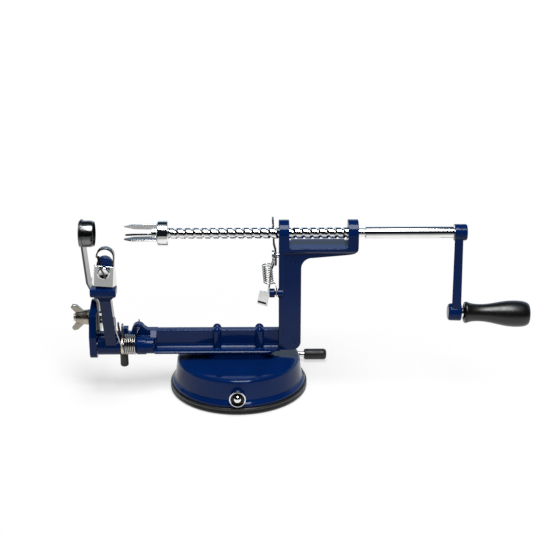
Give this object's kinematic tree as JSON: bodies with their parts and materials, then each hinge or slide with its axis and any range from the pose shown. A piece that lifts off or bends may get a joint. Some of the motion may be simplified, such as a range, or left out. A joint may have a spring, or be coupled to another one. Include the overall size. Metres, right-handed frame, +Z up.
{
  "type": "apple peeler",
  "caption": "Hand-cranked bench fruit peeler, corer and slicer: a feed screw drives a fork past a sprung peeling arm and a coring blade, on a suction foot.",
  "frame": {"origin": "centre of the suction pad's underside, on the table", "axes": "+X along the feed screw towards the crank, +Y away from the user, +Z up"},
  "size_m": [0.3572, 0.116, 0.1382],
  "materials": {
    "enamel": "glossy cobalt enamel",
    "chrome": "bright plated",
    "steel": "zinc plated",
    "blade": "stainless",
    "rubber": "black rubber",
    "vinyl": "black vinyl",
    "grip": "black satin moulding"
  },
  "bodies": {
    "frame": {"frame": "enamel", "base_housing": "enamel", "base_screws": "steel", "suction_pad": "rubber", "arm_pin": "steel", "arm_spring": "chrome", "release_screw": "chrome", "release_spring": "chrome", "slicer_bolt": "steel", "slicer_washer": "steel"},
    "suction_lever": {"lever_rod": "chrome", "lever_cam": "steel", "lever_grip": "vinyl", "axle_cap": "chrome"},
    "stud": {"pad_stud": "steel"},
    "sleeve": {"shank_sleeve": "chrome"},
    "screw": {"feed_screw": "chrome", "fork": "chrome", "fork_nut": "chrome", "crank_arm": "enamel", "crank_pin": "enamel", "grip_pin": "chrome"},
    "grip": {"crank_grip": "grip"},
    "release": {"release_lever": "chrome"},
    "arm": {"peeler_arm": "enamel", "peel_blade": "blade", "blade_clamp": "chrome", "clamp_screw": "chrome", "clamp_nut": "steel"},
    "latch": {"latch_lever": "steel", "latch_tip": "vinyl"},
    "slicer": {"slicer_strip": "blade", "corer_ring": "blade"},
    "wing": {"wing_nut": "steel"}
  },
  "joints": [
    {"name": "lever_throw", "type": "hinge", "parent": "frame", "child": "suction_lever", "pos_m": [0, 0, 0.014], "axis": [0, -1, 0], "range_deg": [0, 180]},
    {"name": "stud_lift", "type": "slide", "parent": "frame", "child": "stud", "axis": [0, 0, 1], "range_m": [-0.0035, 0], "deforming": ["suction_pad"]},
    {"name": "feed_slide", "type": "slide", "parent": "frame", "child": "sleeve", "axis": [1, 0, 0], "range_m": [-0.04763, 0.06985]},
    {"name": "crank_turn", "type": "hinge", "parent": "sleeve", "child": "screw", "pos_m": [0, 0, 0.127], "axis": [1, 0, 0], "range_deg": [-2700, 3960]},
    {"name": "grip_spin", "type": "hinge", "parent": "screw", "child": "grip", "pos_m": [0.1635, 0, 0.0616], "axis": [0.9994, 0, -0.0349], "continuous": true},
    {"name": "release_press", "type": "hinge", "parent": "frame", "child": "release", "pos_m": [0.0294, 0.003, 0.108], "axis": [-1, 0, 0], "range_deg": [0, 10], "stiffness_Nm_per_rad": 0.05, "springref_deg": -17.19, "deforming": ["release_spring"]},
    {"name": "arm_swing", "type": "hinge", "parent": "frame", "child": "arm", "pos_m": [-0.098, -0.0127, 0.0397], "axis": [1, 0, 0], "range_deg": [-12, 50], "stiffness_Nm_per_rad": 0.12, "springref_deg": -28.65, "deforming": ["arm_spring"]},
    {"name": "latch_pull", "type": "hinge", "parent": "frame", "child": "latch", "pos_m": [-0.098, -0.0127, 0.0397], "axis": [1, 0, 0], "range_deg": [0, 15], "stiffness_Nm_per_rad": 0.02, "springref_deg": -17.19},
    {"name": "slicer_swing", "type": "hinge", "parent": "frame", "child": "slicer", "pos_m": [-0.112, 0, 0.0585], "axis": [-1, 0, 0], "range_deg": [0, 90]},
    {"name": "wing_turn", "type": "hinge", "parent": "frame", "child": "wing", "pos_m": [-0.112, 0, 0.0585], "axis": [1, 0, 0], "continuous": true}
  ],
  "couplings": [
    {"joint": "feed_slide", "follows": "crank_turn", "m_per_rad": 0.0010106},
    {"joint": "stud_lift", "follows": "lever_throw", "m_per_rad": -0.0011141}
  ]
}
